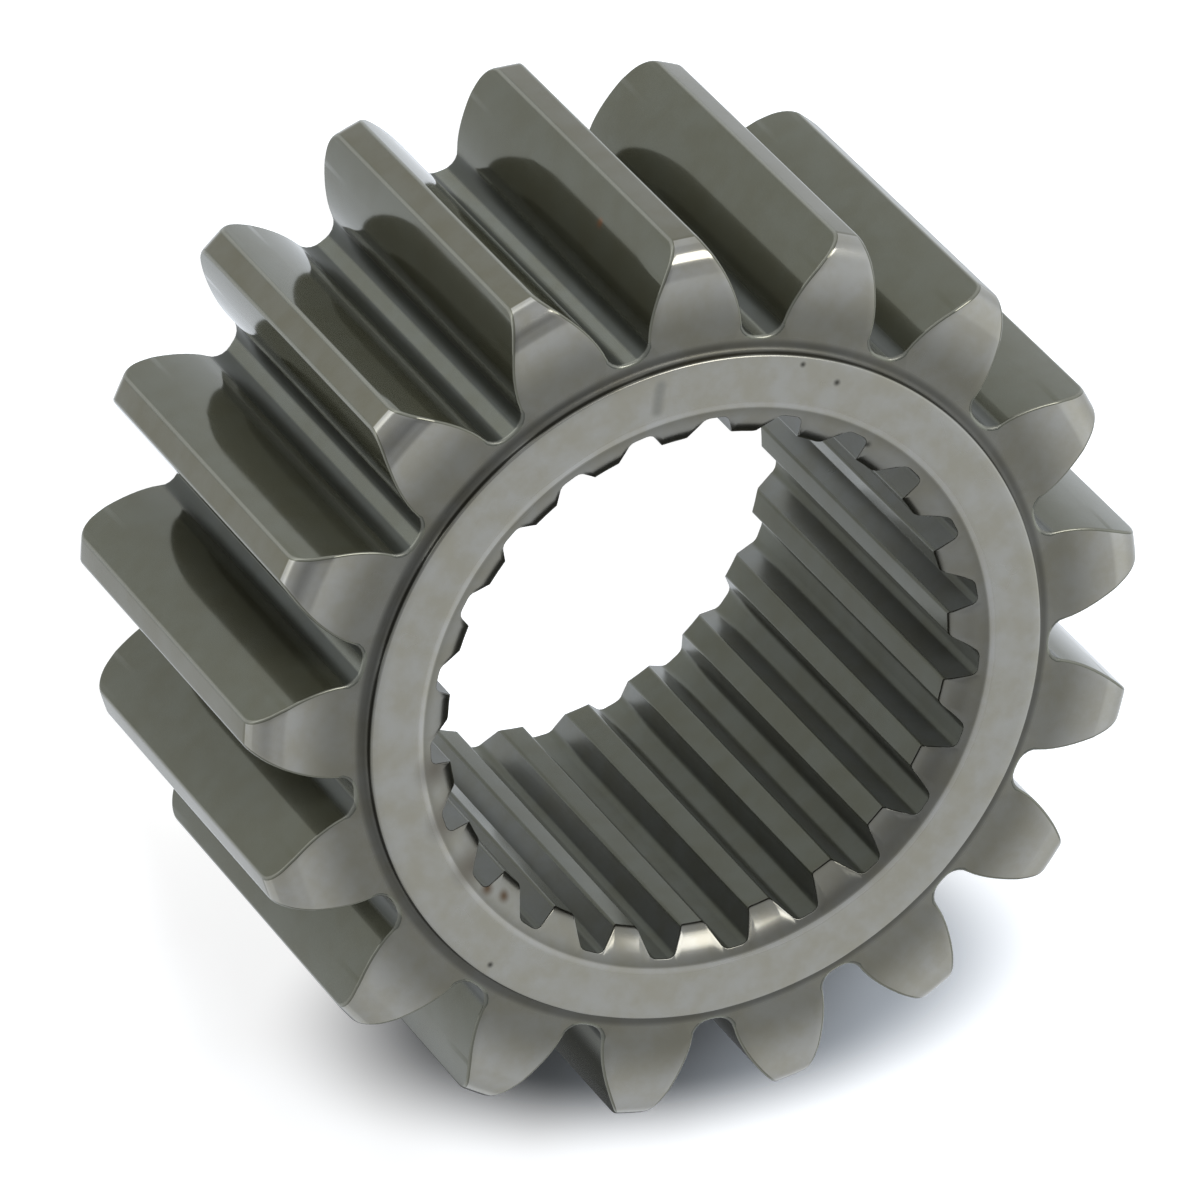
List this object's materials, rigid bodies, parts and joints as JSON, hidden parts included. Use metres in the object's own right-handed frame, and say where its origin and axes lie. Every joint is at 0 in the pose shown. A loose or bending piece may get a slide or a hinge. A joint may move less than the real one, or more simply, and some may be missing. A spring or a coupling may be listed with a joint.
{
  "type": "countershaft spur gear",
  "caption": "One-piece steel spur gear for a gearbox countershaft, with rounded tooth ends, a raised hub ring on each end and a splined through bore.",
  "frame": {"origin": "centre of the bore, in the plane of the face of the lower hub ring, which the gear stands on", "axes": "+Z along the bore axis from one hub ring to the other, +Y through the middle of one gear tooth and of one spline ridge"},
  "size_m": [0.0502, 0.0499, 0.0267],
  "materials": {
    "hardened_steel": "case-hardened steel, satin turned ends, glossier ground flanks, lightly oiled and handled"
  },
  "bodies": {
    "root": {"countershaft_gear": "hardened_steel"}
  },
  "joints": []
}
